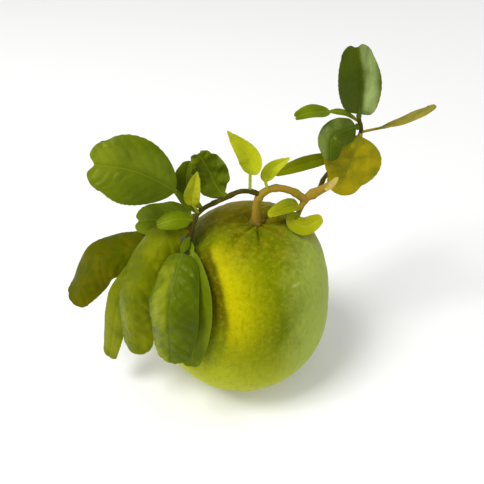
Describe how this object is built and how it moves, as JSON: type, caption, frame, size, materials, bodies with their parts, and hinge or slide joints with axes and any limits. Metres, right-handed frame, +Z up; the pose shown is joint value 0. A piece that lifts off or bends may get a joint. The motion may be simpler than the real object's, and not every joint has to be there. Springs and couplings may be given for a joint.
{
  "type": "pomelo",
  "caption": "Thick-skinned green-yellow citrus fruit, a little taller than wide, with an arched woody stalk, a cut piece of branch and long glossy leaves",
  "frame": {"origin": "centre of the small flat spot the fruit stands on, at its blossom end", "axes": "+Z up through the fruit towards its stalk, +X towards the cut branch and the right-hand shoot, -X towards the hanging leaves, -Y towards the side on which the leaves hang in front of the fruit"},
  "size_m": [0.2892, 0.148, 0.278],
  "materials": {
    "rind": "waxy, finely pitted fruit rind",
    "calyx": "dry, rough",
    "bark": "smooth young bark",
    "shoot": "green to brown young bark",
    "leaf": "glossy mature leaf",
    "young_leaf": "soft sheen, yellow-green young leaf",
    "yellow_leaf": "satin, yellowing leaf"
  },
  "bodies": {
    "root": {"fruit": "rind", "calyx": "calyx", "stalk_and_branch": "bark", "left_shoot": "shoot", "right_shoot": "shoot", "leaf_large": "leaf", "leaf_behind_large": "leaf", "leaf_upright_wing": "leaf", "leaf_crumpled": "leaf", "leaf_young_upright": "young_leaf", "leaf_small_oval": "young_leaf", "leaf_left": "leaf", "leaf_hanging_outer": "leaf", "leaf_hanging_broad": "leaf", "leaf_hanging_front": "leaf", "leaf_hanging_inner": "leaf", "leaf_young_pointed": "young_leaf", "leaf_young_small": "young_leaf", "leaf_young_folded": "young_leaf", "leaf_young_curved": "young_leaf", "leaf_yellowing": "yellow_leaf", "leaf_top": "leaf", "leaf_top_left": "leaf", "leaf_middle_left": "leaf", "leaf_right": "yellow_leaf", "leaf_low_left": "leaf"}
  },
  "joints": []
}
